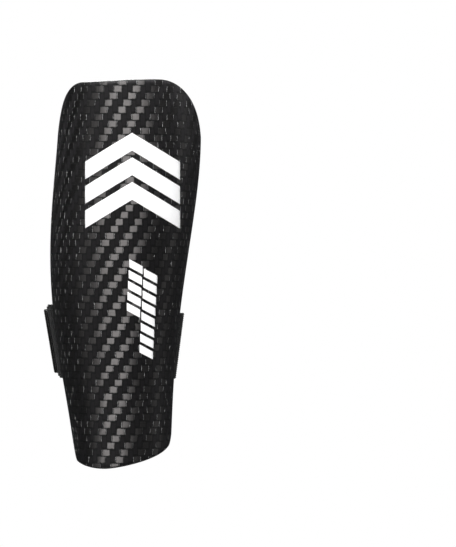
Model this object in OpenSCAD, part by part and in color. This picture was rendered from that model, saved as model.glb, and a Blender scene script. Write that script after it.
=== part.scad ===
// Carbon shin guard for ski racing, worn on one leg.
// Frame: origin on the leg's axis, level with the lowest point of the shell; +Z runs up the leg
// towards the knee, -Y is the front of the shin, and +X is the side where the strap is sewn in.

/* [Shell] */
// Height of the shell along the leg
shell_h = 330; // [300:5:360]
// Thickness of the carbon laminate
shell_t = 2.2; // [1.8:0.1:2.3]
// Angle that each side of the shell turns through, from the shin ridge to its rear edge
wrap = 80; // [76:1:84]
// Width of the guard, as a share of its standard width
girth = 1.0; // [0.95:0.01:1.05]

/* [Lining] */
// Thickness of the lining sheet
liner_t = 3; // [2:0.5:3]
// Thickness of the foam pads
pad_t = 4.7; // [3.5:0.1:5]
// Gap between the lining's edge and the rim of the shell, at the top and the bottom
liner_margin = 5; // [4:0.5:8]

/* [Strap] */
// Width of the elastic strap
strap_w = 56; // [45:1:58]
// Thickness of the elastic
elastic_t = 1.6; // [1.2:0.1:1.8]
// Height of the strap's middle above the lowest point of the shell, on the closing side
strap_z = 107; // [100:1:112]
// How much lower the strap sits on its sewn side
strap_drop = 4; // [0:0.5:5]

/* [Graphics] */
// Width of the front emblem
emblem_w = 80; // [60:1:82]
// Thickness of the printed film
film_t = 0.2; // [0.1:0.05:0.3]

/* [Hidden] */

// Bezier control values from the bottom of the shell to its top.
left_half = [42.5, 48, 88, 52, 57] * girth;          // from the leg's axis to the left edge
right_half = [39.2, 42.5, 40.5, 80, 60.5] * girth;   // from the leg's axis to the right edge
ridge_x = [-11, -6, -1, 0] * girth;                  // the shin ridge, which turns out low down
ridge_y = [-53, -48, -52, -58, -61];
depth = [45, 54, 60, 56];                            // from the ridge back to the rear edges

// Layers are counted inwards from the outer face of the shell.
patch_out = shell_t + 0.25;
patch_in = 3.15;
liner_out = 3.4;
liner_in = liner_out + liner_t;
pad_out = liner_in + 0.3;
pad_in = pad_out + pad_t;
liner_side = 0.965;          // the lining's edge, as a share of the shell's half-turn
film_gap = 0.15;             // clearance that lets the film follow the curved face

// Layers of the closure are counted outwards from the inner face of the closing anchor.
anchor_t = 1.4;
anchor_w = 62;
loop_t = 1.0;
hook_t = 1.0;
peel_gap = 0.3;
loop_out = anchor_t + 0.05 + loop_t;
hook_in = loop_out + peel_gap;
flap_in = hook_in + hook_t + 0.05;

// Places along the strap's route, counted in route points.
p_sewn = 7;                  // where the strap bends away from its fixed end
p_flap = 12;                 // where the closing flap bends away from the strap
p_tip = 15;                  // the flap's free end
p_anchor = 12.3;             // the closing anchor's rear end
p_last = 21;
hinge_gap = 0.012;           // half the gap at a bend, in route points
taper = 0.0028;              // how fast the strap widens up the calf, per millimetre

// The strap's free route behind the leg, at the height strap_z, from the sewn side round the back.
route_back = [
  [36.4, 4.2], [41.4, 9.6], [45.6, 17], [45.4, 26.5], [40.5, 37], [29, 48.5], [12, 56], [-9, 58.5],
  [-29, 56], [-45, 49], [-55, 40], [-60, 29], [-60.8, 21.5], [-58.8, 15.2], [-54.6, 9.6], [-50.6, 4.2]
];

carbon = "#2b2a2b";
white = "white";
foam = "#3a3b3f";
cloth = "#232326";
webbing = "#18181a";

// ---- curves ----

function clamp(v, lo = 0, hi = 1) = min(hi, max(lo, v));
function mix(a, b, f) = a + (b - a) * f;
function smooth(f) = let (c = clamp(f)) c * c * (3 - 2 * c);
function choose(n, k) = k == 0 ? 1 : choose(n, k - 1) * (n - k + 1) / k;
function add(v, k = 0) = k == len(v) - 1 ? v[k] : v[k] + add(v, k + 1);
function bezier(c, u) =
  let (n = len(c) - 1)
  add([for (k = [0:n]) choose(n, k) * pow(u, k) * pow(1 - u, n - k) * c[k]]);
function unit(v) = v / norm(v);

// A cubic through four points, from the second at f = 0 to the third at f = 1.
function through(a, b, c, d, f) =
  0.5 * (2 * b + (c - a) * f + (2 * a - 5 * b + 4 * c - d) * f * f
    + (3 * b - a - 3 * c + d) * f * f * f);

// ---- the shell's outer face ----

// How far an edge stands out from the ridge. The sides blend into each other across the ridge.
function left_share(s) = (1 - sin(90 * clamp(s / 0.8, -1, 1))) / 2;
function edge_reach(s, u) =
  let (x = bezier(ridge_x, u))
  mix(bezier(right_half, u) - x, bezier(left_half, u) + x, left_share(s));

// s runs from -1 at the left rear edge, through 0 on the ridge, to 1 at the right rear edge.
function skin(s, z) =
  let (u = z / shell_h, a = s * wrap)
  [
    bezier(ridge_x, u) + edge_reach(s, u) * sin(a) / sin(wrap),
    bezier(ridge_y, u) + bezier(depth, u) * (1 - cos(a)) / (1 - cos(wrap)),
    z
  ];

// The unit normal of the outer face, pointing towards the leg.
function inward(s, z) =
  unit(cross(skin(s, z + 1) - skin(s, z - 1), skin(s + 0.01, z) - skin(s - 0.01, z)));

function layer(s, z, t) = skin(s, z) + t * inward(s, z);

// How far a rounded corner has cut in at s: nothing before from, all of drop at s = 1.
function corner(s, from, drop) =
  let (f = clamp((s - from) / (1 - from)))
  drop * (1 - pow(1 - f * f, 2 / 3));

function rim_top(s) =
  shell_h - 2.2 * (1 - smooth((s + 0.35) / 0.7))
  - (s < 0 ? corner(-s, 0.45, 48) : corner(s, 0.38, 54));

function rim_bottom(s) =
  let (t = s + 0.1)
  t < 0
  ? 8.6 * pow(-t, 1.7) + corner(-s, 0.8, 28)
  : 17.7 * pow(t, 1.7) + corner(s, 0.88, 12);

// ---- solids made of a grid of points ----

// Closed solid between an outer sheet (k = 0) and an inner sheet (k = 1) of at(i, j, k), with
// i running to the right and j upwards as the outer sheet is seen from outside.
module sheet_solid(at, ni, nj) {
  row = ni + 1;
  side = row * (nj + 1);
  points = [for (k = [0:1]) for (j = [0:nj]) for (i = [0:ni]) at(i, j, k)];
  function id(i, j, k) = k * side + j * row + i;
  function quad(a, b, c, d) = [[a, b, c], [a, c, d]];
  faces = [
    for (j = [0:nj - 1]) for (i = [0:ni - 1]) each concat(
      quad(id(i, j, 0), id(i, j + 1, 0), id(i + 1, j + 1, 0), id(i + 1, j, 0)),
      quad(id(i, j, 1), id(i + 1, j, 1), id(i + 1, j + 1, 1), id(i, j + 1, 1))
    ),
    for (i = [0:ni - 1]) each concat(
      quad(id(i, 0, 0), id(i + 1, 0, 0), id(i + 1, 0, 1), id(i, 0, 1)),
      quad(id(i + 1, nj, 0), id(i, nj, 0), id(i, nj, 1), id(i + 1, nj, 1))
    ),
    for (j = [0:nj - 1]) each concat(
      quad(id(0, j + 1, 0), id(0, j, 0), id(0, j, 1), id(0, j + 1, 1)),
      quad(id(ni, j, 0), id(ni, j + 1, 0), id(ni, j + 1, 1), id(ni, j, 1))
    )
  ];
  polyhedron(points, faces, convexity = 6);
}

// Steps that crowd together at both ends, from -1 to 1.
function crowded(i, n) = -cos(180 * i / n);

// ---- shell, lining and pads ----

module shell() {
  ni = 44;
  nj = 30;
  color(carbon)
    sheet_solid(
      function (i, j, k)
        let (s = crowded(i, ni))
        layer(s, mix(rim_bottom(s), rim_top(s), j / nj), k * shell_t),
      ni, nj
    );
}

function liner_top(s) = rim_top(s / liner_side) - liner_margin;
function liner_bottom(s) = rim_bottom(s / liner_side) + liner_margin;

module liner() {
  ni = 30;
  nj = 20;
  color(cloth)
    sheet_solid(
      function (i, j, k)
        let (s = crowded(i, ni) * liner_side)
        layer(s, mix(liner_bottom(s), liner_top(s), j / nj), k == 0 ? liner_out : liner_in),
      ni, nj
    );
}

// The lining's edge as one loop: up the right side, over the top, down the left, and back below.
function liner_loop(n, m) = [
  for (j = [0:m - 1]) [liner_side, mix(liner_bottom(liner_side), liner_top(liner_side), j / m)],
  for (i = [0:n - 1]) let (s = -crowded(i, n) * liner_side) [s, liner_top(s)],
  for (j = [0:m - 1]) [-liner_side, mix(liner_top(-liner_side), liner_bottom(-liner_side), j / m)],
  for (i = [0:n - 1]) let (s = crowded(i, n) * liner_side) [s, liner_bottom(s)]
];

// A tape folded over the lining's edge, drawn as one bead that stands just outside it.
module liner_binding() {
  loop = liner_loop(26, 16);
  n = len(loop);
  sides = 6;
  middle = (liner_out + liner_in) / 2;
  bead = [for (q = [0:sides - 1]) [1.25 + 1.0 * cos(q * 60 + 30), 1.9 * sin(q * 60 + 30)]];
  function place(i) = let (e = loop[(i + n) % n]) layer(e[0], e[1], middle);
  points = [
    for (i = [0:n - 1])
      let (
        e = loop[i],
        in = inward(e[0], e[1]),
        along = unit(place(i + 1) - place(i - 1)),
        out = unit(cross(in, along)),
        here = place(i)
      )
      for (b = bead) here + out * b[0] + in * b[1]
  ];
  faces = [
    for (i = [0:n - 1]) for (q = [0:sides - 1])
      let (
        a = i * sides + q,
        b = i * sides + (q + 1) % sides,
        c = ((i + 1) % n) * sides + (q + 1) % sides,
        d = ((i + 1) % n) * sides + q
      )
      each [[a, c, b], [a, d, c]]
  ];
  color(webbing) polyhedron(points, faces, convexity = 8);
}

// One foam pad between s values lo and hi and between the heights that low and high give,
// with its corners rounded over the share round_s of its half-width and over round_z upwards.
module pad(lo, hi, low, high, round_s = 0.45, round_z = 10) {
  ni = 12;
  nj = 10;
  function cut(f) =
    let (c = clamp((abs(f) - (1 - round_s)) / round_s))
    round_z * (1 - sqrt(1 - c * c));
  color(foam)
    sheet_solid(
      function (i, j, k)
        let (f = crowded(i, ni), s = mix(lo, hi, (f + 1) / 2))
        layer(s, mix(low(s) + cut(f), high(s) - cut(f), j / nj), k == 0 ? pad_out : pad_in),
      ni, nj
    );
}

pad_inner = 0.1;             // the pads leave this much clear on each side of the shin ridge
pad_outer = 0.6;
rows = [96, 104, 198, 206];  // the heights where the lower, middle and upper pads end and begin
pad_edge = 9;                // from the lining's edge to the nearest pad

module pad_lower(side) {
  lo = side < 0 ? -pad_outer : pad_inner;
  pad(lo, lo + pad_outer - pad_inner, function (s) liner_bottom(s) + pad_edge, function (s) rows[0]);
}

module pad_middle(side) {
  lo = side < 0 ? -pad_outer : pad_inner;
  pad(lo, lo + pad_outer - pad_inner, function (s) rows[1], function (s) rows[2]);
}

module pad_upper(side) {
  lo = side < 0 ? -pad_outer : pad_inner;
  pad(lo, lo + pad_outer - pad_inner, function (s) rows[3], function (s) liner_top(s) - pad_edge);
}

module pad_side(side) {
  lo = side < 0 ? -0.88 : 0.66;
  pad(lo, lo + 0.22, function (s) 158, function (s) 250);
}

// Hook-and-loop patches that hold the lining in the shell.
module fixing_patches() {
  color(webbing)
    for (z = [60, 175, 275]) for (s = [-0.42, 0.42])
      sheet_solid(
        function (i, j, k)
          layer(s + (i / 4 - 0.5) * 0.34, z + (j / 3 - 0.5) * 38, k == 0 ? patch_out : patch_in),
        4, 3
      );
}

// ---- strap ----

function route(z) =
  let (
    wide = 1 + taper * (z - strap_z),
    on_liner = liner_in + elastic_t + 0.3,
    on_binding = liner_in + elastic_t + 0.8,
    ends = function (side) [
      layer(side * 0.72, z, on_liner),
      layer(side * 0.85, z, on_liner),
      layer(side * 0.96, z, on_binding)
    ],
    right = ends(1),
    left = ends(-1)
  )
  concat(
    right,
    [for (r = route_back) [r[0] * wide * girth, r[1] * wide, z]],
    [left[2], left[1], left[0]]
  );

function on_route(points, p) =
  let (last = len(points) - 1, q = clamp(p, 0, last), i = min(floor(q), last - 1))
  through(
    points[max(i - 1, 0)], points[i], points[i + 1], points[min(i + 2, last)], q - i
  );

// A point of the band: p along the route, z its height, t outwards from the leg.
function band(p, z, t) =
  let (
    points = route(z),
    step = on_route(points, p + 0.02) - on_route(points, p - 0.02),
    out = unit([step[1], -step[0], 0])
  )
  on_route(points, p) + t * out;

// The strap's middle height, which falls from the closing side to the sewn side.
function band_z(p) = strap_z - strap_drop * (1 - smooth((p - p_sewn) / (p_flap - p_sewn)));

// How far the elastic stands out from the route: over the closure on the left, on the lining
// on the right.
function elastic_in(p) = flap_in * smooth((p - 8.2) / 3.4);

// A length of band from p0 to p1, w wide, between the layers that in_at gives and t further out.
// round_end rounds the corners at p1 over that share of its length.
module band_piece(p0, p1, w, in_at, t, ni, nj, round_end = 0) {
  function half(f) =
    let (c = round_end == 0 ? 0 : clamp((f - (1 - round_end)) / round_end))
    w / 2 - 7 * (1 - sqrt(1 - c * c));
  sheet_solid(
    function (i, j, k)
      let (f = i / ni, p = mix(p0, p1, f))
      band(p, band_z(p) + (2 * j / nj - 1) * half(f), in_at(p) + (k == 0 ? t : 0)),
    ni, nj
  );
}

module elastic_fixed_end() {
  color(webbing)
    band_piece(0, p_sewn - hinge_gap, strap_w, function (p) 0, elastic_t, 24, 4);
}

module elastic_strap() {
  color(webbing)
    band_piece(
      p_sewn + hinge_gap, p_flap - hinge_gap, strap_w, function (p) elastic_in(p), elastic_t, 24, 4
    );
}

module closing_flap() {
  color(webbing)
    band_piece(
      p_flap + hinge_gap, p_tip, strap_w - 1.5, function (p) flap_in, elastic_t, 14, 4, 0.15
    );
}

module hook_panel() {
  color(cloth)
    band_piece(p_flap + 0.1, p_tip - 0.05, strap_w - 5, function (p) hook_in, hook_t, 14, 4, 0.15);
}

module loop_panel() {
  color(foam)
    band_piece(
      p_anchor + 0.05, p_tip + 2.2, anchor_w - 3, function (p) anchor_t + 0.05, loop_t, 20, 4
    );
}

module closing_anchor() {
  color(webbing)
    band_piece(p_anchor, p_last, anchor_w, function (p) 0, anchor_t, 32, 4);
}

// ---- printed graphics ----

// The s value at which the outer face lies at x, at the height z.
function s_at(x, z, tries = 4, s = 0) =
  tries == 0 ? s
  : let (u = z / shell_h)
    s_at(x, z, tries - 1, asin((x - bezier(ridge_x, u)) * sin(wrap) / edge_reach(s, u)) / wrap);

// A film of printed colour over the shell. at gives [x, z] as seen from the front, for shares i
// and j of the way to the right and upwards.
module film(at, ni, nj) {
  sheet_solid(
    function (i, j, k)
      let (q = at(i / ni, j / nj))
      layer(s_at(q[0], q[1]), q[1], -film_gap - (k == 0 ? film_t : 0)),
    ni, nj
  );
}

// Three chevrons in a stack, pointing up.
module front_emblem() {
  rise = emblem_w * 0.3;
  bar = emblem_w * 0.185;
  pitch = bar * 1.4;
  middle = [7.5, 244];
  bottom = middle[1] - (rise + bar + 2 * pitch) / 2;
  color(white)
    for (n = [0:2])
      film(
        function (i, j)
          let (x = emblem_w * (i - 0.5))
          [middle[0] + x, bottom + n * pitch + j * bar + rise * (1 - abs(2 * x / emblem_w))],
        16, 3
      );
}

// Two columns of slanted bars beside the ridge.
module side_bars() {
  bar = [11, 6.6];
  slant = 6;
  pitch = 9.2;
  lean = 0.058;
  long_column = [13.5, 92.5, 8];
  short_column = [2.9, 128, 5];
  color(white)
    for (column = [long_column, short_column]) for (n = [0:column[2] - 1])
      film(
        function (i, j)
          [column[0] + lean * n * pitch + i * bar[0], column[1] + n * pitch + slant * (1 - i) + j * bar[1]],
        3, 1
      );
}

shell();
front_emblem();
side_bars();
fixing_patches();
liner();
liner_binding();
pad_lower(-1);  // pad_left_lower
pad_middle(-1);  // pad_left_middle
pad_upper(-1);  // pad_left_upper
pad_side(-1);  // pad_left_side
pad_lower(1);  // pad_right_lower
pad_middle(1);  // pad_right_middle
pad_upper(1);  // pad_right_upper
pad_side(1);  // pad_right_side
closing_anchor();
loop_panel();
elastic_fixed_end();
elastic_strap();
closing_flap();
hook_panel();
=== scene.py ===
"""The looks of a carbon shin guard for ski racing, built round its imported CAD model.

Lengths are in millimetres in the shape functions, as in the CAD source, and become metres when a
mesh is made. The shell's face is one formula: s runs from -1 at the left rear edge, through 0 on
the shin ridge, to 1 at the right rear edge, and z is the height above the shell's lowest point.
A layer is counted inwards from that face, towards the leg. The strap has its own route, p, from
its sewn end round the back of the leg to the closure.
"""
import math

import bpy
import numpy as np
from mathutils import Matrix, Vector


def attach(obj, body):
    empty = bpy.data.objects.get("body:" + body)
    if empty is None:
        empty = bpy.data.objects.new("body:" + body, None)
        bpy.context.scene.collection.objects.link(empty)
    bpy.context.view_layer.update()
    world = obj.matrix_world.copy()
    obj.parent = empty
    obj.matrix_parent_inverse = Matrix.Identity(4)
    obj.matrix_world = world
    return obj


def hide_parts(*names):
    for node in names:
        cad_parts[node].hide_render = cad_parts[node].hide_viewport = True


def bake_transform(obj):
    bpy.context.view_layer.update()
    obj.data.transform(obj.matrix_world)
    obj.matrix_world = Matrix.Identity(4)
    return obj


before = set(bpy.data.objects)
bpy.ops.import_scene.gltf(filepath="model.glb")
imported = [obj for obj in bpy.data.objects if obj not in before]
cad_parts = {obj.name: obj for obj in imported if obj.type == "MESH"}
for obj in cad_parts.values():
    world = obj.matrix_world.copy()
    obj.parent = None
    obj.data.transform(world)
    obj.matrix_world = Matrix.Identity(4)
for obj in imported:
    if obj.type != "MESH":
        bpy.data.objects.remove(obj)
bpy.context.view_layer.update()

MM = 0.001

# ---- driving sizes, the same as in the CAD source ----

SHELL_H = 330.0
SHELL_T = 2.2
WRAP = math.radians(80)
LEFT_HALF = (42.5, 48, 88, 52, 57)
RIGHT_HALF = (39.2, 42.5, 40.5, 80, 60.5)
RIDGE_X = (-11, -6, -1, 0)
RIDGE_Y = (-53, -48, -52, -58, -61)
DEPTH = (45, 54, 60, 56)

PATCH_OUT, PATCH_IN = 2.45, 3.15
LINER_OUT, LINER_IN = 3.4, 6.4
LINER_SIDE = 0.965
LINER_MARGIN = 5.0
PAD_OUT = 6.7
PAD_INNER, PAD_OUTER = 0.1, 0.6
PAD_ROWS = (96, 104, 198, 206)
PAD_EDGE = 9.0

STRAP_W = 56.0
STRAP_Z = 107.0
STRAP_DROP = 4.0
ELASTIC_T = 1.6
ANCHOR_W, ANCHOR_T = 62.0, 1.4
LOOP_T, HOOK_T = 1.0, 1.0
LOOP_IN = ANCHOR_T + 0.05
HOOK_IN = LOOP_IN + LOOP_T + 0.3
FLAP_IN = HOOK_IN + HOOK_T + 0.05
P_SEWN, P_FLAP, P_TIP, P_ANCHOR, P_LAST = 7, 12, 15, 12.3, 21
P_MIDDLE = 10                # where the two halves of the elastic meet
TAPER = 0.0028
ROUTE_BACK = np.array([
    (36.4, 4.2), (41.4, 9.6), (45.6, 17), (45.4, 26.5), (40.5, 37), (29, 48.5), (12, 56), (-9, 58.5),
    (-29, 56), (-45, 49), (-55, 40), (-60, 29), (-60.8, 21.5), (-58.8, 15.2), (-54.6, 9.6), (-50.6, 4.2),
])

# Where the elastic bends at each joint, as the points between which it turns.
SWING_BEND = ((46, 23, 103), (27, 49, 103))
PEEL_BEND = ((-34, 58, 107), (-58, 40, 107))


# ---- curves and the shell's face ----

def mix(a, b, f):
    return a + (b - a) * f


def smooth(f):
    f = np.clip(f, 0, 1)
    return f * f * (3 - 2 * f)


def bezier(control, u):
    n = len(control) - 1
    return sum(math.comb(n, k) * u**k * (1 - u)**(n - k) * c for k, c in enumerate(control))


def unit(v):
    return v / np.maximum(np.linalg.norm(v, axis=-1, keepdims=True), 1e-9)


def reach(s, u):
    """How far an edge stands out from the ridge. The sides blend into each other across it."""
    left_share = (1 - np.sin(math.pi / 2 * np.clip(s / 0.8, -1, 1))) / 2
    ridge = bezier(RIDGE_X, u)
    return mix(bezier(RIGHT_HALF, u) - ridge, bezier(LEFT_HALF, u) + ridge, left_share)


def skin(s, z):
    """Points of the shell's outer face."""
    s, z = np.broadcast_arrays(np.asarray(s, float), np.asarray(z, float))
    u = z / SHELL_H
    angle = s * WRAP
    x = bezier(RIDGE_X, u) + reach(s, u) * np.sin(angle) / math.sin(WRAP)
    y = bezier(RIDGE_Y, u) + bezier(DEPTH, u) * (1 - np.cos(angle)) / (1 - math.cos(WRAP))
    return np.stack([x, y, z], -1)


def inward(s, z):
    """Unit normals of the outer face, towards the leg."""
    s, z = np.asarray(s, float), np.asarray(z, float)
    return unit(np.cross(skin(s, z + 1) - skin(s, z - 1), skin(s + 0.01, z) - skin(s - 0.01, z)))


def layer(s, z, t):
    """Points t inside the outer face."""
    return skin(s, z) + np.asarray(t, float)[..., None] * inward(s, z)


def corner(s, start, drop):
    """How far a rounded corner has cut in at s: nothing before start, all of drop at 1."""
    f = np.clip((s - start) / (1 - start), 0, 1)
    return drop * (1 - (1 - f * f)**(2 / 3))


def rim_top(s):
    side = np.where(s < 0, corner(-s, 0.45, 48), corner(s, 0.38, 54))
    return SHELL_H - 2.2 * (1 - smooth((s + 0.35) / 0.7)) - side


def rim_bottom(s):
    t = s + 0.1
    left = 8.6 * np.maximum(-t, 0)**1.7 + corner(-s, 0.8, 28)
    right = 17.7 * np.maximum(t, 0)**1.7 + corner(s, 0.88, 12)
    return np.where(t < 0, left, right)


def liner_top(s):
    return rim_top(s / LINER_SIDE) - LINER_MARGIN


def liner_bottom(s):
    return rim_bottom(s / LINER_SIDE) + LINER_MARGIN


def crowded(n):
    """Steps from -1 to 1 that crowd together at both ends."""
    return -np.cos(np.pi * np.arange(n + 1) / n)


def s_at(x, z):
    """The s value at which the outer face lies at x, at the height z."""
    s = np.zeros_like(x)
    u = z / SHELL_H
    for _ in range(8):
        sine = (x - bezier(RIDGE_X, u)) * math.sin(WRAP) / reach(s, u)
        s = np.arcsin(np.clip(sine, -1, 1)) / WRAP
    return s


# ---- the strap's route ----

def route(z):
    """The strap's route points at heights z, from the sewn side round the back."""
    z = np.asarray(z, float)[..., None]
    wide = 1 + TAPER * (z - STRAP_Z)
    ends = np.array([0.72, 0.85, 0.96])
    on_liner = LINER_IN + ELASTIC_T + 0.3
    inset = np.array([on_liner, on_liner, on_liner + 0.5])
    back = np.stack([ROUTE_BACK[:, 0] * wide, ROUTE_BACK[:, 1] * wide, z + 0 * ROUTE_BACK[:, 0]], -1)
    return np.concatenate([layer(ends, z, inset), back, layer(-ends[::-1], z, inset[::-1])], -2)


def on_route(points, p):
    """The place p along each row of route points, on a cubic through the four nearest points."""
    last = points.shape[-2] - 1
    q = np.clip(p, 0, last)
    i = np.minimum(np.floor(q), last - 1).astype(int)
    f = (q - i)[..., None]

    def at(k):
        return np.take_along_axis(points, np.clip(k, 0, last)[..., None, None], -2)[..., 0, :]

    a, b, c, d = at(i - 1), at(i), at(i + 1), at(i + 2)
    return 0.5 * (2 * b + (c - a) * f + (2 * a - 5 * b + 4 * c - d) * f**2
                  + (3 * b - a - 3 * c + d) * f**3)


def band(p, z, t):
    """Points of the band: p along the route, z high, t outwards from the leg."""
    p, z, t = np.broadcast_arrays(*(np.asarray(v, float) for v in (p, z, t)))
    points = route(z)
    step = on_route(points, p + 0.02) - on_route(points, p - 0.02)
    out = unit(np.stack([step[..., 1], -step[..., 0], 0 * step[..., 0]], -1))
    return on_route(points, p) + t[..., None] * out


def band_z(p):
    """The strap's middle height, which falls from the closing side to the sewn side."""
    return STRAP_Z - STRAP_DROP * (1 - smooth((p - P_SEWN) / (P_FLAP - P_SEWN)))


def elastic_in(p):
    """How far the elastic stands out from the route, to pass over the closure on the left."""
    return FLAP_IN * smooth((p - 8.2) / 3.4)


# ---- meshes ----

def new_object(name, points, faces, uv=None):
    """A smooth-shaded object from points in millimetres, with an optional UV pair for each point."""
    mesh = bpy.data.meshes.new(name)
    mesh.from_pydata((np.asarray(points) * MM).tolist(), [], [list(map(int, face)) for face in faces])
    mesh.polygons.foreach_set("use_smooth", [True] * len(mesh.polygons))
    if uv is not None:
        corners = np.empty(len(mesh.loops), np.int32)
        mesh.loops.foreach_get("vertex_index", corners)
        mesh.uv_layers.new(name="Cloth").data.foreach_set("uv", np.asarray(uv)[corners].ravel())
    made = bpy.data.objects.new(name, mesh)
    bpy.context.scene.collection.objects.link(made)
    return made


class Solid:
    """Points, faces and UVs that are gathered before they become one object."""

    def __init__(self):
        self.points, self.faces, self.uvs, self.count = [], [], [], 0

    def add(self, points, faces, uv):
        points = np.asarray(points).reshape(-1, 3)
        self.points.append(points)
        self.uvs.append(np.asarray(uv).reshape(-1, 2))
        self.faces.extend(np.asarray(f) + self.count for f in faces)
        self.count += len(points)

    def build(self, name):
        return new_object(name, np.concatenate(self.points), self.faces, np.concatenate(self.uvs))


def grid_faces(rows, columns, first=0, flip=False):
    """Quads of a grid of points, counter-clockwise as the grid is seen from outside."""
    index = first + np.arange(rows * columns).reshape(rows, columns)
    quads = np.stack([index[:-1, :-1], index[:-1, 1:], index[1:, 1:], index[1:, :-1]], -1).reshape(-1, 4)
    return quads[:, ::-1] if flip else quads


def border(grid):
    """The outermost points of a grid as one loop, counter-clockwise as seen from outside."""
    return np.concatenate([grid[0, :-1], grid[:-1, -1], grid[-1, :0:-1], grid[:0:-1, 0]])


def rounded_sheet(outer, inner, uv, steps=4, into=None):
    """A closed solid between two grids of points, with a round edge that stands out past them."""
    solid = into or Solid()
    rows, columns = outer.shape[:2]
    index = np.arange(rows * columns).reshape(rows, columns)
    out_edge, in_edge = border(outer), border(inner)
    middle = (out_edge + in_edge) / 2
    across = (out_edge - in_edge) / 2
    along = np.roll(middle, -1, 0) - np.roll(middle, 1, 0)
    away = unit(np.cross(along, across)) * np.linalg.norm(across, axis=1, keepdims=True)
    angles = np.pi * np.arange(1, steps) / steps
    rim = [middle + across * math.cos(a) + away * math.sin(a) for a in angles]
    first = 2 * index.size
    rings = [border(index)]
    rings += [first + k * len(middle) + np.arange(len(middle)) for k in range(steps - 1)]
    rings.append(border(index) + index.size)
    faces = [grid_faces(rows, columns), grid_faces(rows, columns, index.size, flip=True)]
    faces += [np.stack([a, b, np.roll(b, -1), np.roll(a, -1)], -1) for a, b in zip(rings, rings[1:])]
    uvs = [uv.reshape(-1, 2)] * 2 + [border(uv)] * (steps - 1)
    points = [outer.reshape(-1, 3), inner.reshape(-1, 3)] + rim
    solid.add(np.concatenate(points), np.concatenate(faces), np.concatenate(uvs))
    return solid


def arc_uv(points, middle_column):
    """UV in millimetres: the distance round the face from one column, and the height."""
    steps = np.linalg.norm(np.diff(points[..., :2], axis=1), axis=-1)
    u = np.concatenate([np.zeros((len(points), 1)), np.cumsum(steps, 1)], 1)
    return np.stack([u - u[:, middle_column:middle_column + 1], points[..., 2]], -1)


def shell_sheet(s, low, high, rows, t_out, t_in, steps=4, into=None):
    """A sheet on the shell's curve between two heights for each s, and between two layers."""
    z = mix(low, high, np.linspace(0, 1, rows + 1)[:, None])
    outer, inner = layer(s, z, t_out + 0 * z), layer(s, z, t_in + 0 * z)
    return rounded_sheet(outer, inner, arc_uv(outer, len(s) // 2), steps, into)


def strap_sheet(p, across, in_at, out_at, into=None):
    """A sheet of band at places p, with rows across it, between two layers outwards."""
    z = band_z(p) + across
    outer, inner = band(p, z, out_at), band(p, z, in_at)
    line = band(p, band_z(p), 0)
    arc = np.concatenate([[0], np.cumsum(np.linalg.norm(np.diff(line, axis=0), axis=1))])
    uv = np.stack(np.broadcast_arrays(arc, across), -1)
    return rounded_sheet(outer, inner, uv, 4, into)


# ---- stitches ----

STITCH = 3.2                 # from one stitch to the next
THREAD = 0.3                 # half of the thread's thickness


def grain():
    """One stitch as a grain along x, and its faces."""
    rings = [(-0.62, 0.72), (0, 1), (0.62, 0.72)]
    turn = np.arange(6) * np.pi / 3
    points = [[(-1, 0, 0)]]
    points += [np.stack([0 * turn + x, r * np.cos(turn), r * np.sin(turn)], -1) for x, r in rings]
    points.append([(1, 0, 0)])
    after = (np.arange(6) + 1) % 6
    k = np.arange(6)
    faces = [(0, 1 + b, 1 + a) for a, b in zip(k, after)]
    for ring in (1, 7):
        faces += [(ring + a, ring + b, ring + b + 6, ring + a + 6) for a, b in zip(k, after)]
    faces += [(13 + a, 13 + b, 19) for a, b in zip(k, after)]
    return np.concatenate(points), faces


def stitch(solid, path, out, length=2.5):
    """Stitches along a path of points, standing out of the cloth in the direction out."""
    path, out = np.asarray(path, float), np.asarray(out, float)
    arc = np.concatenate([[0], np.cumsum(np.linalg.norm(np.diff(path, axis=0), axis=1))])
    count = max(int(arc[-1] / STITCH), 1)
    middles = (np.arange(count) + 0.5) * arc[-1] / count

    def at(values, where):
        return np.stack([np.interp(where, arc, values[:, k]) for k in range(3)], -1)

    along = unit(at(path, middles + 0.6) - at(path, middles - 0.6))
    up = unit(at(out, middles))
    side = unit(np.cross(up, along))
    points, faces = grain()
    scaled = points * (length / 2, THREAD, THREAD)
    frame_of = np.stack([along, side, np.cross(along, side)], 1)
    placed = at(path, middles)[:, None] + 0.08 * up[:, None] + np.einsum("pk,nkc->npc", scaled, frame_of)
    for one, height in zip(placed, middles):
        solid.add(one, faces, np.stack([points[:, 0] + height, points[:, 1]], -1))


def corners_path(corners, step=1.5):
    """Points along the straight lines between 2-D corners."""
    out = [np.array(corners[:1], float)]
    for a, b in zip(np.array(corners[:-1], float), np.array(corners[1:], float)):
        n = max(int(np.linalg.norm(b - a) / step), 1)
        out.append(a + (b - a) * (np.arange(1, n + 1) / n)[:, None])
    return np.concatenate(out)


# ---- materials ----

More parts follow.
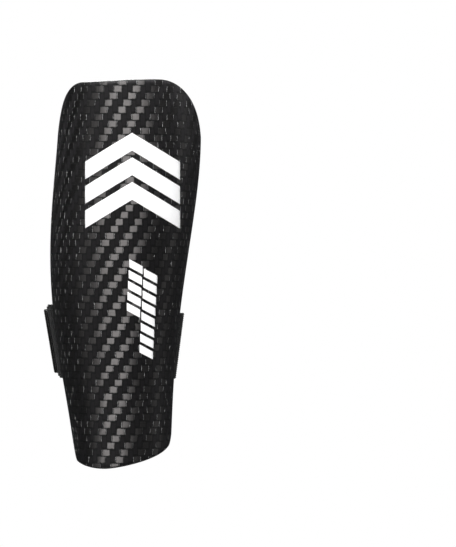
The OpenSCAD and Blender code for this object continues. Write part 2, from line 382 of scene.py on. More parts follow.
class Nodes:
    """Short names for building one material's node tree."""

    def __init__(self, name):
        self.material = bpy.data.materials.new(name)
        self.material.use_nodes = True
        self.tree = self.material.node_tree
        self.shader = self.tree.nodes["Principled BSDF"]

    def node(self, kind, **settings):
        made = self.tree.nodes.new(kind)
        for key, value in settings.items():
            setattr(made, key, value)
        return made

    def link(self, value, socket):
        if isinstance(value, (int, float, tuple)):
            socket.default_value = value
        else:
            self.tree.links.new(value, socket)

    def math(self, operation, *values):
        made = self.node("ShaderNodeMath", operation=operation)
        for value, socket in zip(values, made.inputs):
            self.link(value, socket)
        return made.outputs[0]

    def add(self, a, b):
        return self.math("ADD", a, b)

    def times(self, a, b):
        return self.math("MULTIPLY", a, b)

    def scaled(self, a, factor, shift=0.0):
        return self.math("MULTIPLY_ADD", a, factor, shift)

    def flip(self, a):
        return self.math("SUBTRACT", 1.0, a)

    def wave(self, a, period):
        """A cosine of the distance a, from 0 to 1."""
        return self.scaled(self.math("COSINE", self.scaled(a, 2 * math.pi / period)), 0.5, 0.5)

    def pick(self, which, yes, no):
        """yes where which is 1, no where it is 0."""
        return self.add(self.times(which, yes), self.times(self.flip(which), no))

    def uv(self):
        split = self.node("ShaderNodeSeparateXYZ")
        self.link(self.node("ShaderNodeUVMap", uv_map="Cloth").outputs[0], split.inputs[0])
        return split.outputs[0], split.outputs[1]

    def vector(self, x, y, z=0.0):
        made = self.node("ShaderNodeCombineXYZ")
        for value, socket in zip((x, y, z), made.inputs):
            self.link(value, socket)
        return made.outputs[0]

    def noise(self, u, v, size, detail=2.0):
        """Noise on the cloth, with features about size millimetres wide, from 0 to 1."""
        made = self.node("ShaderNodeTexNoise")
        self.link(self.vector(self.scaled(u, 1 / size), self.scaled(v, 1 / size)), made.inputs["Vector"])
        self.link(1.0, made.inputs["Scale"])
        self.link(float(detail), made.inputs["Detail"])
        return made.outputs["Fac"]

    def random(self, x, y, z=0.0):
        made = self.node("ShaderNodeTexWhiteNoise", noise_dimensions="3D")
        self.link(self.vector(x, y, z), made.inputs["Vector"])
        return made.outputs["Value"]

    def ramp(self, value, low, high, to_low=0.0, to_high=1.0):
        """value between low and high, smoothly mapped to to_low and to_high."""
        made = self.node("ShaderNodeMapRange", interpolation_type="SMOOTHSTEP")
        for v, socket in zip((value, low, high, to_low, to_high), made.inputs):
            self.link(v, socket)
        return made.outputs[0]

    def blend(self, factor, a, b):
        """A colour between a and b."""
        made = self.node("ShaderNodeMix", data_type="RGBA")
        colours = [s for s in made.inputs if s.type == "RGBA"]
        self.link(factor, made.inputs["Factor"])
        self.link(a, colours[0])
        self.link(b, colours[1])
        return [s for s in made.outputs if s.type == "RGBA"][0]

    def bump(self, height, distance, strength=1.0):
        made = self.node("ShaderNodeBump")
        self.link(height, made.inputs["Height"])
        self.link(float(distance), made.inputs["Distance"])
        self.link(float(strength), made.inputs["Strength"])
        self.link(made.outputs[0], self.shader.inputs["Normal"])

    def set(self, **values):
        for name, value in values.items():
            self.link(value, self.shader.inputs[name.replace("_", " ")])

    def finish(self, colour, height, depth, roughness, **values):
        """Set the colour, a relief depth millimetres deep, and the rest, and give the material."""
        self.set(Base_Color=colour, Roughness=roughness, **values)
        self.bump(height, depth * MM)
        return self.material


def grey(value, warm=0.0):
    return (value * (1 + warm), value, value * (1 - warm), 1)


WARP = 4.0                   # width of the upright tows
WEFT = 5.92                  # height of the level tows
WARP_START = 4.16            # the weave's place on the shell, in tows: this puts a bright diagonal
WEFT_START = 0.2 - 54        # of level floats where the photograph has one


def carbon():
    """A 2/2 twill of upright and level tows of carbon fibre under a thin satin coat."""
    n = Nodes("carbon_twill")
    u, v = n.uv()
    drift = n.scaled(n.noise(u, v, 22), 0.7, -0.35)
    shake = n.scaled(n.noise(u, v, 2.2, 1), 0.2, -0.1)
    a = n.add(n.scaled(u, 1 / WARP, WARP_START), n.add(drift, shake))
    b = n.math("SUBTRACT", n.scaled(v, 1 / WEFT, WEFT_START), shake)
    column, row = n.math("FLOOR", a), n.math("FLOOR", b)
    part_a, part_b = n.math("FRACT", a), n.math("FRACT", b)
    step = n.math("FLOORED_MODULO", n.math("SUBTRACT", column, row), 4.0)
    level = n.math("GREATER_THAN", step, 1.5)    # 1 where a level tow lies on top
    # Along and across whichever tow lies on top, from -1 to 1, with 0 in its middle.
    level_along = n.add(n.add(step, -3.0), part_a)
    upright_along = n.add(n.math("SUBTRACT", 0.0, step), part_b)
    along = n.math("ABSOLUTE", n.pick(level, level_along, upright_along))
    across = n.math("ABSOLUTE", n.scaled(n.pick(level, part_b, part_a), 2.0, -1.0))
    crown = n.flip(n.math("MAXIMUM", n.math("POWER", along, 6.0), n.math("POWER", across, 5.0)))
    # Every float has its own brightness, and fine fibres run along it.
    seed = n.random(n.math("FLOOR", n.scaled(n.math("SUBTRACT", column, row), 0.25)), row, level)
    fibres = n.noise(n.pick(level, n.scaled(a, 0.6), n.scaled(a, 24.0)),
                     n.pick(level, n.scaled(b, 24.0), n.scaled(b, 0.6)), 1, 2)
    face = n.times(n.ramp(along, 0.84, 0.64), n.ramp(across, 0.96, 0.72))
    shine = n.times(n.times(face, n.scaled(seed, 0.4, 0.8)), n.scaled(fibres, 0.7, 0.65))
    # Level tows are painted lighter than upright ones of the same fibre: a painted sheen standing in for
    # the light their level fibres catch.
    tow_and_painted_sheen = n.blend(level, (0.09, 0.085, 0.09, 1), (0.195, 0.185, 0.182, 1))
    # The resin stands up in a thin lip at the ends of some floats, and the lip is also painted
    # near-white, a painted glint at the sides.
    end = n.random(n.math("FLOOR", n.add(a, 0.5)), row, 3.0)
    ridge = n.times(n.ramp(along, 0.85, 0.92), n.ramp(along, 0.99, 0.92))
    lip_and_painted_glint = n.times(n.times(ridge, level), n.times(n.ramp(end, 0.3, 0.7), n.ramp(across, 0.9, 0.6)))
    # The lips are painted near-white over the tows: a painted glint on top of their real raised relief.
    colour = n.blend(lip_and_painted_glint, n.blend(shine, grey(0.06), tow_and_painted_sheen), grey(0.9))
    # Fibres lie level, and mirror the high lamp, only on the level floats and their lips.
    turned = n.times(level, n.math("GREATER_THAN", n.math("MAXIMUM", face, lip_and_painted_glint), 0.3))
    height = n.add(n.scaled(crown, 0.16), n.add(n.scaled(lip_and_painted_glint, 2.2), n.scaled(fibres, 0.04)))
    tangent = n.node("ShaderNodeTangent", direction_type="UV_MAP", uv_map="Cloth")
    n.link(tangent.outputs[0], n.shader.inputs["Tangent"])
    return n.finish(colour, height, 0.4, 0.55, Metallic=1.0, Anisotropic=0.85,
                    Anisotropic_Rotation=n.scaled(turned, 0.25),
                    Coat_Weight=0.5, Coat_Roughness=0.4, Coat_IOR=1.6, Specular_IOR_Level=0.4)


def cut_edge():
    """The trimmed and sealed edge of the laminate: dull resin with broken fibre ends in it."""
    n = Nodes("laminate_edge")
    u, v = n.uv()
    ends = n.noise(u, v, 0.5, 4)
    patches = n.noise(u, v, 6, 2)
    tone = n.add(n.scaled(ends, 0.7), n.scaled(patches, 0.4))
    colour = n.blend(n.ramp(tone, 0.3, 0.8), grey(0.006), grey(0.022))
    return n.finish(colour, ends, 0.08, n.scaled(ends, 0.2, 0.45), Coat_Weight=0.2, Coat_Roughness=0.35)


def ink():
    """White screen print, a little uneven, with the weave just felt through it."""
    n = Nodes("white_print")
    u, v = n.uv()
    mottle = n.noise(u, v, 1.6, 4)
    weave = n.times(n.wave(u, 2 * WARP), n.wave(v, 2 * WEFT))
    colour = n.blend(mottle, grey(0.86), grey(0.93))
    return n.finish(colour, n.add(n.scaled(mottle, 0.3), n.scaled(weave, 0.4)), 0.05,
                    n.scaled(mottle, 0.2, 0.4), Coat_Weight=0.1, Coat_Roughness=0.3)


def lining():
    """Brushed knit on both faces of the lining sheet, in columns of small loops."""
    n = Nodes("brushed_lining")
    u, v = n.uv()
    fuzz = n.noise(u, v, 0.7, 4)
    wear = n.noise(u, v, 30, 3)
    column = n.wave(u, 1.5)
    lean = n.scaled(n.math("ABSOLUTE", n.scaled(n.math("FRACT", n.scaled(u, 1 / 1.5)), 2.0, -1.0)), 0.55)
    loops = n.wave(n.add(v, lean), 1.1)
    yarn = n.add(n.scaled(n.times(column, loops), 0.6), n.scaled(fuzz, 0.5))
    colour = n.blend(n.ramp(n.add(yarn, n.scaled(wear, 0.3)), 0.2, 1.1), grey(0.008), grey(0.045))
    return n.finish(colour, yarn, 0.25, 0.95, Sheen_Weight=0.35, Sheen_Roughness=0.5,
                    Specular_IOR_Level=0.2)


def mesh_knit():
    """Spacer mesh over the pads: a lattice of small round holes in a charcoal knit."""
    n = Nodes("spacer_mesh")
    u, v = n.uv()
    size = 3.0
    slant = n.scaled(v, math.sqrt(3) / 2)
    half = n.scaled(u, 0.5)
    waves = n.add(n.wave(u, size), n.add(n.wave(n.add(half, slant), size),
                                         n.wave(n.math("SUBTRACT", half, slant), size)))
    hole_and_painted_shade = n.ramp(waves, 1.75, 2.35)
    fibre = n.noise(u, v, 0.35, 3)
    tone = n.noise(u, v, 18, 2)
    knit = n.blend(n.add(n.scaled(fibre, 0.7), n.scaled(tone, 0.3)), grey(0.022), grey(0.085, -0.03))
    # The holes are painted near-black: painted shade inside them, over their real depth in the relief.
    colour = n.blend(hole_and_painted_shade, knit, grey(0.004))
    height = n.add(n.scaled(hole_and_painted_shade, -1.0, 1.0), n.scaled(fibre, 0.25))
    return n.finish(colour, height, 0.45, 0.85, Sheen_Weight=0.3, Sheen_Roughness=0.4,
                    Specular_IOR_Level=0.25)


def elastic():
    """Woven elastic: rubber ribs wrapped in black yarn, which crosses them in fine lines."""
    n = Nodes("ribbed_elastic")
    u, v = n.uv()
    wobble = n.scaled(n.noise(u, v, 1.5, 2), 0.35)
    yarn = n.wave(n.add(u, wobble), 0.62)
    lint = n.noise(u, v, 0.5, 5)
    tone = n.add(n.scaled(yarn, 0.55), n.scaled(lint, 0.6))
    colour = n.blend(n.ramp(tone, 0.25, 0.95), grey(0.004), grey(0.016))
    return n.finish(colour, tone, 0.14, 0.8, Sheen_Weight=0.05, Sheen_Roughness=0.45,
                    Specular_IOR_Level=0.3)


def webbing(name="nylon_webbing", period=1.9, value=0.024):
    """Flat nylon webbing: a twill of small oblique picks between its long warp cords."""
    n = Nodes(name)
    u, v = n.uv()
    cord = n.wave(v, period)
    side = n.math("GREATER_THAN", n.math("FRACT", n.scaled(v, 1 / (2 * period))), 0.5)
    lean = n.pick(side, n.scaled(v, 1.0), n.scaled(v, -1.0))
    pick = n.wave(n.add(u, lean), period * 0.55)
    lint = n.noise(u, v, 0.4, 4)
    relief = n.add(n.scaled(n.math("POWER", n.flip(cord), 2.0), -0.5, 0.6),
                   n.add(n.scaled(pick, 0.35), n.scaled(lint, 0.15)))
    colour = n.blend(n.ramp(relief, 0.1, 0.95), grey(value * 0.3), grey(value))
    return n.finish(colour, relief, 0.28, 0.6, Sheen_Weight=0.1, Sheen_Roughness=0.4,
                    Specular_IOR_Level=0.35)


def binding():
    """Grosgrain tape: fine ribs that cross the tape."""
    n = Nodes("grosgrain_binding")
    u, v = n.uv()
    rib = n.wave(u, 0.95)
    lint = n.noise(u, v, 0.45, 4)
    relief = n.add(n.scaled(rib, 0.7), n.scaled(lint, 0.3))
    colour = n.blend(n.ramp(relief, 0.1, 0.9), grey(0.006), grey(0.03))
    return n.finish(colour, relief, 0.2, 0.7, Sheen_Weight=0.1, Sheen_Roughness=0.4,
                    Specular_IOR_Level=0.3)


def pile():
    """The loop side of hook and loop: a nap of tiny curled threads."""
    n = Nodes("loop_pile")
    u, v = n.uv()
    swirl = n.scaled(n.noise(u, v, 1.8, 2), 4.0)
    curls = n.wave(n.add(n.add(u, v), swirl), 1.3)
    lint = n.noise(u, v, 0.45, 6)
    nap = n.add(n.scaled(curls, 0.4), n.scaled(lint, 0.7))
    colour = n.blend(n.ramp(nap, 0.25, 0.95), grey(0.004), grey(0.024))
    return n.finish(colour, nap, 0.5, 0.95, Sheen_Weight=0.08, Sheen_Roughness=0.5,
                    Specular_IOR_Level=0.15)


def hooks():
    """The hook side: rows of small stiff hooks on a woven ground."""
    n = Nodes("hook_rows")
    u, v = n.uv()
    row = n.math("FLOOR", n.scaled(v, 1 / 1.5))
    shift = n.scaled(n.math("FLOORED_MODULO", row, 2.0), 0.8)
    dots = n.times(n.wave(n.add(u, shift), 1.6), n.wave(v, 1.5))
    lint = n.noise(u, v, 0.4, 3)
    head = n.ramp(dots, 0.35, 0.75)
    colour = n.blend(head, n.blend(lint, grey(0.006), grey(0.018)), grey(0.05))
    return n.finish(colour, n.add(head, n.scaled(lint, 0.2)), 0.7, n.scaled(head, -0.3, 0.75),
                    Specular_IOR_Level=0.5)


def thread():
    """Bonded polyester thread, twisted."""
    n = Nodes("sewing_thread")
    u, v = n.uv()
    twist = n.wave(n.add(u, n.scaled(v, 0.3)), 0.55)
    fuzz = n.noise(u, v, 0.3, 3)
    tone = n.add(n.scaled(twist, 0.7), n.scaled(fuzz, 0.3))
    colour = n.blend(tone, grey(0.02), grey(0.075))
    return n.finish(colour, tone, 0.06, 0.5, Sheen_Weight=0.1, Specular_IOR_Level=0.4)


# ---- pieces ----

def finish_piece(made, material, nodes=(), body="guard", bend=None):
    """Give a piece its material and slot, hang it on its body (a piece given a bend only has its place
    baked into its mesh), and hide what it stands for.
    """
    made.data.materials.append(material)
    if bend:
        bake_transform(made)
    else:
        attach(made, body)
    if nodes:
        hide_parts(*nodes)
    return made


def shell():
    inset = SHELL_T / 2 / 75         # the round rim takes this share of the half-turn
    s = crowded(96) * (1 - inset)
    rim = SHELL_T / 2
    rows = 120
    solid = shell_sheet(s, rim_bottom(s) + rim, rim_top(s) - rim, rows, 0, SHELL_T, 6)
    made = finish_piece(solid.build("carbon_shell"), carbon(), ["shell"])
    made.data.materials.append(cut_edge())
    faces = np.zeros(len(made.data.polygons), np.int32)
    faces[2 * rows * (len(s) - 1):] = 1
    made.data.polygons.foreach_set("material_index", faces)


def film(solid, at, columns, rows):
    """A film of ink on the shell. at gives x and z as seen from the front, for shares i and j."""
    i, j = np.meshgrid(np.linspace(0, 1, columns + 1), np.linspace(0, 1, rows + 1))
    x, z = at(i, j)
    s = s_at(x, z)
    outer, inner = layer(s, z, -0.26 + 0 * z), layer(s, z, -0.05 + 0 * z)
    rounded_sheet(outer, inner, np.stack([x, z], -1), 2, solid)


def emblem():
    """Three chevrons in a stack, pointing up."""
    width = 80.0
    rise, bar = 0.3 * width, 0.185 * width
    pitch = 1.4 * bar
    middle = (7.5, 244.0)
    bottom = middle[1] - (rise + bar + 2 * pitch) / 2
    solid = Solid()
    for n in range(3):
        film(solid, lambda i, j: (
            middle[0] + width * (i - 0.5),
            bottom + n * pitch + j * bar + rise * (1 - np.abs(2 * i - 1))), 36, 7)
    return solid.build("printed_chevrons")


def bars():
    """Two columns of slanted bars beside the ridge."""
    width, height, slant = 11.0, 6.6, 6.0
    pitch = 9.2
    lean = 0.058                 # how far the columns lean to the right as they rise
    solid = Solid()
    for x, z, count in ((13.5, 92.5, 8), (2.9, 128, 5)):
        for n in range(count):
            film(solid, lambda i, j: (
                x + lean * n * pitch + i * width,
                z + n * pitch + slant * (1 - i) + j * height), 6, 4)
    return solid.build("printed_bars")


def prints():
    white = ink()
    finish_piece(emblem(), white, ["front_emblem"])
    finish_piece(bars(), white, ["side_bars"])


def patches():
    """Hook-and-loop patches that hold the lining in the shell."""
    half_height = 19
    share = 0.34                 # a patch's width, as a share of the half-turn
    solid = Solid()
    for z in (60, 175, 275):
        for middle in (-0.42, 0.42):
            s = middle + np.linspace(-0.5, 0.5, 17) * share
            low, high = z - half_height + 0 * s, z + half_height + 0 * s
            shell_sheet(s, low, high, 16, PATCH_OUT, PATCH_IN, 3, solid)
    finish_piece(solid.build("hook_and_loop_patches"), pile(), ["fixing_patches"])


def liner():
    s = crowded(72) * LINER_SIDE
    solid = shell_sheet(s, liner_bottom(s), liner_top(s), 96, LINER_OUT, LINER_IN)
    made = finish_piece(solid.build("knit_lining"), lining(), ["liner"])


def liner_loop(n, m):
    """The lining's edge as s and z: up the right side, over the top, down the left, back below."""
    up = np.arange(m) / m
    s = crowded(n)[:-1] * LINER_SIDE
    side = np.full(m, LINER_SIDE)
    return (np.concatenate([side, -s, -side, s]),
            np.concatenate([mix(liner_bottom(side), liner_top(side), up), liner_top(-s),
                            mix(liner_top(-side), liner_bottom(-side), up), liner_bottom(s)]))


def liner_binding():
    """A tape folded over the lining's edge, with a row of stitches on the leg's side."""
    s, z = liner_loop(90, 66)
    count, sides = len(s), 16
    middle = layer(s, z, 0 * z + (LINER_OUT + LINER_IN) / 2)
    inside = inward(s, z)
    along = unit(np.roll(middle, -1, 0) - np.roll(middle, 1, 0))
    out = unit(np.cross(inside, along))
    turn = 2 * np.pi * np.arange(sides) / sides
    wide, thick = np.cos(turn), np.sin(turn)
    # A flattened round section: broad faces over the sheet, and a close fold round its edge.
    across = 1.25 + 1.0 * np.sign(wide) * np.abs(wide)**0.7
    through = 1.9 * np.sign(thick) * np.abs(thick)**0.75
    points = middle[:, None] + out[:, None] * across[:, None] + inside[:, None] * through[:, None]
    index = np.arange(count * sides).reshape(count, sides)
    after, beside = np.roll(index, -1, 0), np.roll(index, -1, 1)
    faces = np.stack([index, after, np.roll(after, -1, 1), beside], -1).reshape(-1, 4)
    arc = np.cumsum(np.linalg.norm(middle - np.roll(middle, 1, 0), axis=1))
    uv = np.stack(np.broadcast_arrays(arc[:, None], 1.9 * turn), -1)
    solid = Solid()
    solid.add(points, faces, uv)
    finish_piece(solid.build("edge_binding"), binding(), ["liner_binding"])
    line = middle + out * 0.9 + inside * 1.86
    seam = Solid()
    stitch(seam, np.concatenate([line, line[:1]]), np.concatenate([inside, inside[:1]]), 2.2)
    return seam


# ---- foam pads, swollen by a cloth simulation ----

PUFF = 2.5                   # the pads are simulated this many times thicker than they are
FLANGE = 1.8                 # the sewn edge round each pad
PAD_FOOT = 1.3               # height of a pad's sides
PAD_CROWN = 3.4              # how far its swollen face stands above them


class Pad:
    """One pad's place on the lining: between two s values and between two heights for each s."""

    def __init__(self, name, lo, hi, low, high):
        self.name, self.lo, self.hi, self.low, self.high = name, lo, hi, low, high
        middle = (lo + hi) / 2
        z = (low(middle) + high(middle)) / 2
        edge = layer(np.array([lo, hi]), z, np.full(2, PAD_OUT))
        self.width = float(np.linalg.norm(edge[1] - edge[0]))
        self.height = float(high(middle) - low(middle))

    def place(self, x, y, w, grow=0.0):
        """Points of the shell's frame from flat ones: x across, y up, and w towards the leg."""
        s = mix(self.lo, self.hi, x / self.width + 0.5)
        z = mix(self.low(s) - grow, self.high(s) + grow, y / (self.height + 2 * grow) + 0.5)
        return layer(s, z, PAD_OUT - 0.2 + w)


def pad_list():
    def flat(value):
        return lambda s: value + 0 * s

    pads = []
    for side in ("left", "right"):
        lo = -PAD_OUTER if side == "left" else PAD_INNER
        hi = lo + PAD_OUTER - PAD_INNER
        pads.append(Pad(f"{side}_lower", lo, hi, lambda s: liner_bottom(s) + PAD_EDGE, flat(PAD_ROWS[0])))
        pads.append(Pad(f"{side}_middle", lo, hi, flat(PAD_ROWS[1]), flat(PAD_ROWS[2])))
        pads.append(Pad(f"{side}_upper", lo, hi, flat(PAD_ROWS[3]), lambda s: liner_top(s) - PAD_EDGE))
        lo = -0.88 if side == "left" else 0.66
        pads.append(Pad(f"{side}_side", lo, lo + 0.22, flat(158), flat(250)))
    return pads


def outline(width, height, radius, steps=6):
    """A rounded rectangle, counter-clockwise."""
    corners = []
    for quarter, (a, b) in enumerate(((1, 1), (-1, 1), (-1, -1), (1, -1))):
        angle = math.pi / 2 * (quarter + np.arange(steps + 1) / steps)
        corners.append(np.stack([a * (width / 2 - radius) + radius * np.cos(angle),
                                 b * (height / 2 - radius) + radius * np.sin(angle)], -1))
    return np.concatenate(corners)


def pillow(pad, radius=7.0):
    """A thick slab of the pad's outline, remeshed into an even cloth that can swell."""
    line = outline(pad.width - 2.4, pad.height - 2.4, radius)
    count = len(line)
    half = 1.35 * PUFF
    points = np.concatenate([np.c_[line, np.full(count, -half)], np.c_[line, np.full(count, half)]])
    ring = np.arange(count)
    after = (ring + 1) % count
    sides = np.stack([ring, after, after + count, ring + count], -1)
    made = new_object("pillow_" + pad.name, points, [ring[::-1], ring + count, *sides])
    remesh = made.modifiers.new("even", "REMESH")
    remesh.mode = "VOXEL"
    remesh.voxel_size = 2.5 * MM
    return applied(made)


def applied(made):
    """The object with its modifiers' result as its mesh."""
    evaluated = made.evaluated_get(bpy.context.evaluated_depsgraph_get())
    mesh = bpy.data.meshes.new_from_object(evaluated)
    made.modifiers.clear()
    made.data = mesh
    return made


def mesh_points(mesh):
    points = np.empty(len(mesh.vertices) * 3, np.float32)
    mesh.vertices.foreach_get("co", points)
    return points.reshape(-1, 3).astype(float) / MM


def swell(pillows, cap=6.0):
    """Blow the pillows up as cloth, all together, and keep each point within cap of its start."""
    start = [mesh_points(made.data) for made in pillows]
    for made in pillows:
        cloth = made.modifiers.new("swell", "CLOTH").settings
        cloth.use_pressure = True
        cloth.uniform_pressure_force = 4
        cloth.effector_weights.gravity = 0
        cloth.quality = 6
    scene = bpy.context.scene
    for number in range(1, 21):
        scene.frame_set(number)
    for made, before in zip(pillows, start):
        applied(made)
        moved = mesh_points(made.data) - before
        far = np.linalg.norm(moved, axis=1, keepdims=True)
        kept = before + moved * np.minimum(1, cap / np.maximum(far, 1e-9))
        made.data.vertices.foreach_set("co", (kept * MM).ravel())
        made.modifiers.new("fine", "SUBSURF").levels = 1
        applied(made)
    scene.frame_set(1)


def cushion(pad, mesh):
    """The pad's final solid: its swollen face and flat back laid on the lining, and its flange."""
    points = mesh_points(mesh)
    x, y, w = points.T
    w = w / np.abs(w).max()
    # The back is pressed flat on the lining, and only the face stays swollen.
    w = np.where(w > 0, PAD_FOOT + PAD_CROWN * w, PAD_FOOT * (1 - np.minimum(-1.7 * w, 1)))
    # Pressed channels divide a long pad into shorter cells.
    cells = max(round(pad.height / 32), 1)
    groove = sum(np.exp(-((y - pad.height * (k / cells - 0.5)) / 1.9)**2) for k in range(1, cells))
    w = w * (1 - 0.5 * groove * (np.abs(x) < pad.width / 2 - 2.6))
    faces = [list(face.vertices) for face in mesh.polygons]
    solid = Solid()
    solid.add(pad.place(x, y, w), faces, np.stack([x, y], -1))
    sx = np.linspace(-0.5, 0.5, 13)
    sy = np.linspace(-0.5, 0.5, 25)[:, None]
    width, height = pad.width + 2 * FLANGE, pad.height + 2 * FLANGE
    fx, fy = rounded(sx * width + 0 * sy, sy * height + 0 * sx, width, height, 8)
    bottom, top = pad.place(fx, fy, 0 * fx - 0.05), pad.place(fx, fy, 0 * fx + 0.65)
    rounded_sheet(bottom, top, np.stack([fx, fy], -1), 3, solid)
    return solid.build("pad_" + pad.name + "_cushion")


def rounded(x, y, width, height, radius):
    """Pull a grid's corners in to the given radius."""
    ax, ay = np.abs(x), np.abs(y)
    over_x, over_y = ax - (width / 2 - radius), ay - (height / 2 - radius)
    both = (over_x > 0) & (over_y > 0)
    far = np.maximum(np.hypot(over_x, over_y), 1e-9)
    shrink = np.where(both, np.maximum(over_x, over_y) / far, 1)
    ax = np.where(both, width / 2 - radius + over_x * shrink, ax)
    ay = np.where(both, height / 2 - radius + over_y * shrink, ay)
    return np.sign(x) * ax, np.sign(y) * ay


def pads():
    laid = pad_list()
    pillows = [pillow(pad) for pad in laid]
    swell(pillows)
    cover = mesh_knit()
    seam = Solid()
    for pad, made in zip(laid, pillows):
        piece = finish_piece(cushion(pad, made.data), cover, ["pad_" + pad.name])
        bpy.data.objects.remove(made)
        line = outline(pad.width + FLANGE, pad.height + FLANGE, 7.5)
        line = np.concatenate([line, line[:1]])
        path = corners_path(line)
        flat = pad.place(path[:, 0], path[:, 1], np.full(len(path), 0.7))
        above = pad.place(path[:, 0], path[:, 1], np.full(len(path), 1.7))
        stitch(seam, flat, above - flat, 2.3)
    return seam


# ---- strap ----

RIBS = 33                    # lengthwise ribs across the elastic
RIB_DEPTH = 0.45


def elastic_half(name, p, bend, material, nodes):
    """One half of the ribbed elastic. The corners of the free end are rounded."""
    y = np.linspace(-0.5, 0.5, 4 * RIBS + 1)[:, None]
    ridge = np.sqrt(np.abs(np.sin(np.pi * RIBS * (y + 0.5))))
    valley = RIB_DEPTH * (1 - ridge)
    end = np.clip((p - 14.55) / 0.45, 0, 1)
    width = STRAP_W - 1.5 * smooth((p - 11.7) / 0.6) - 14 * (1 - np.sqrt(1 - end * end))
    low = elastic_in(p)
    solid = strap_sheet(p, y * width, low + valley, low + ELASTIC_T - valley)
    finish_piece(solid.build(name), material, nodes, bend=bend)


def strap_seam(solid, corners, per_p, face, up):
    """Stitches along lines between corners in p and y, on the face at t, standing up by up."""
    path = corners_path(np.array(corners) * (per_p, 1)) / (per_p, 1)
    p, y = path.T
    here = band(p, band_z(p) + y, face + 0 * p)
    above = band(p, band_z(p) + y, face + up + 0 * p)
    stitch(solid, here, above - here, 2.6)


def box_and_cross(lo, hi, half):
    """The corners of a sewn box with a cross in it."""
    return [[(lo, -half), (hi, -half), (hi, half), (lo, half), (lo, -half)],
            [(lo, -half), (hi, half)], [(lo, half), (hi, -half)]]


def frame_seam(lo, hi, half):
    return [(lo, -half), (hi, -half), (hi, half), (lo, half), (lo, -half)]


def closure():
    """The closing anchor sewn to the lining, and the loop panel sewn to the anchor."""
    p = np.linspace(P_ANCHOR, P_LAST, 90)
    y = np.linspace(-0.5, 0.5, 41)[:, None] * ANCHOR_W
    solid = strap_sheet(p, y, 0 * p, ANCHOR_T + 0 * p)
    finish_piece(solid.build("closing_anchor_webbing"), webbing(), ["closing_anchor"])
    rng = np.random.default_rng(7)
    p = np.linspace(P_ANCHOR + 0.05, P_TIP + 2.2, 84)
    y = np.linspace(-0.5, 0.5, 71)[:, None] * (ANCHOR_W - 3)
    nap = np.clip(rng.normal(0, 0.09, (71, 84)), -0.2, 0.2)
    solid = strap_sheet(p, y, LOOP_IN + 0 * p, LOOP_IN + LOOP_T - 0.1 + nap)
    finish_piece(solid.build("loop_pile_panel"), pile(), ["loop_panel"])


def strap():
    black = elastic()
    swing = ("guard", "strap", *SWING_BEND)
    peel = ("strap", "flap", *PEEL_BEND)
    elastic_half("elastic_sewn_half", np.linspace(0, P_MIDDLE + 0.05, 62), swing, black,
                 ["elastic_fixed_end"])
    elastic_half("elastic_closing_half", np.linspace(P_MIDDLE - 0.05, P_TIP, 50), peel, black,
                 ["elastic_strap", "closing_flap"])
    closure()
    p = np.linspace(P_FLAP + 0.1, P_TIP - 0.05, 40)
    end = np.clip((p - P_TIP + 0.45) / 0.4, 0, 1)
    width = STRAP_W - 5 - 14 * (1 - np.sqrt(1 - end * end))
    y = np.linspace(-0.5, 0.5, 41)[:, None] * width
    solid = strap_sheet(p, y, HOOK_IN + 0 * p, HOOK_IN + HOOK_T + 0 * p)
    finish_piece(solid.build("hook_tape_panel"), hooks(), ["hook_panel"], bend=peel)


def stitches(lining_seams):
    """The strap's seams, and those of the lining that are handed in."""
    yarn = thread()
    solid = Solid()
    for corners in box_and_cross(0.18, 1.85, 24):
        strap_seam(solid, corners, 8.6, 0, -1)
    for corners in box_and_cross(P_LAST - 1.85, P_LAST - 0.18, 27):
        strap_seam(solid, corners, 8.6, 0, -1)
    strap_seam(solid, frame_seam(P_ANCHOR + 0.25, P_TIP + 2.05, 27.5), 10, LOOP_IN + LOOP_T, 1)
    finish_piece(solid.build("strap_end_stitches"), yarn)
    solid = Solid()
    strap_seam(solid, frame_seam(P_FLAP + 0.25, P_TIP - 0.6, 23.2), 12, FLAP_IN + ELASTIC_T, 1)
    made = solid.build("flap_stitches")
    finish_piece(made, yarn, bend=("strap", "flap", *PEEL_BEND))
    for name, seam in lining_seams.items():
        finish_piece(seam.build(name), yarn)


# ---- stage, light and camera ----

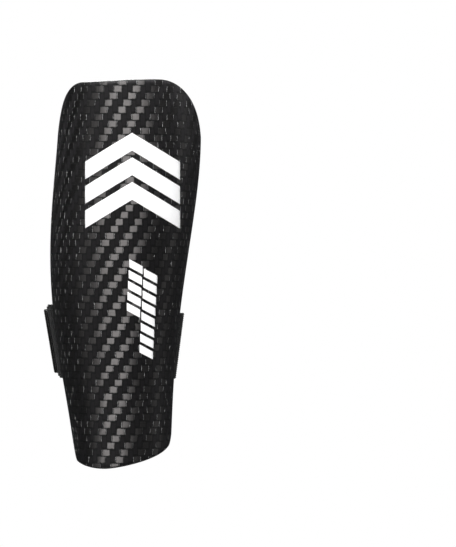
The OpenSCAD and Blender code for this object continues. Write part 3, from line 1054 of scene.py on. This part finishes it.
def stage():
    """A plain pale floor, below the picture, and a white backdrop that lights nothing."""
    angle = np.linspace(0, 2 * np.pi, 97)[:-1]
    radius, floor_z = 1300, -170
    ring = np.stack([radius * np.cos(angle), radius * np.sin(angle), 0 * angle + floor_z], -1)
    floor = new_object("floor", ring, [range(96)])
    pale = Nodes("pale_floor")
    pale.set(Base_Color=grey(0.9), Roughness=0.9)
    floor.data.materials.append(pale.material)
    floor.visible_glossy = False
    bpy.ops.mesh.primitive_uv_sphere_add(radius=12, segments=48, ring_count=24)
    sky = bpy.context.object
    sky.name = "backdrop"
    glow = Nodes("backdrop_white")
    glow.tree.nodes.remove(glow.shader)
    glow.link(glow.node("ShaderNodeEmission").outputs[0],
              glow.tree.nodes["Material Output"].inputs["Surface"])
    sky.data.materials.append(glow.material)
    sky.visible_diffuse = False
    sky.visible_glossy = False
    sky.visible_shadow = False


def area_light(name, place, size, power):
    """A soft box at place that faces the guard's middle."""
    data = bpy.data.lights.new(name, "AREA")
    data.shape = "RECTANGLE"
    data.size, data.size_y = size
    data.energy = power
    lamp = bpy.data.objects.new(name, data)
    bpy.context.scene.collection.objects.link(lamp)
    lamp.location = place
    aim = Vector((0, 0, 0.165)) - Vector(place)
    lamp.rotation_euler = aim.to_track_quat("-Z", "Y").to_euler()


def lights():
    area_light("key", (-0.05, -1.3, 1.35), (2.0, 0.7), 51)
    area_light("left_fill", (-1.75, -0.9, 0.45), (0.8, 1.3), 1.2)
    area_light("right_fill", (2.0, 0.3, 0.4), (0.5, 1.0), 1.1)
    area_light("back", (0.0, 2.0, 1.5), (0.5, 1.2), 70)
    world = bpy.data.worlds.new("soft_studio")
    bpy.context.scene.world = world
    world.use_nodes = True
    world.node_tree.nodes["Background"].inputs[0].default_value = (0.035, 0.036, 0.038, 1)


def camera():
    """Straight on and level from far away, with the guard on the picture's left half."""
    data = bpy.data.cameras.new("camera")
    place = (0.0885, -3.6, 0.1654)
    seen_width = 0.3917      # of the plane through the leg's axis
    data.sensor_width = 36
    data.sensor_fit = "HORIZONTAL"
    data.lens = 36 * -place[1] / seen_width
    made = bpy.data.objects.new("camera", data)
    bpy.context.scene.collection.objects.link(made)
    made.location = place
    made.rotation_euler = (math.pi / 2, 0, 0)
    bpy.context.scene.camera = made
    bpy.context.scene.view_settings.view_transform = "Standard"


camera()
stage()
lights()
shell()
prints()
patches()
liner()
edge_seam = liner_binding()
pad_seam = pads()
strap()
stitches({"edge_stitches": edge_seam, "pad_stitches": pad_seam})
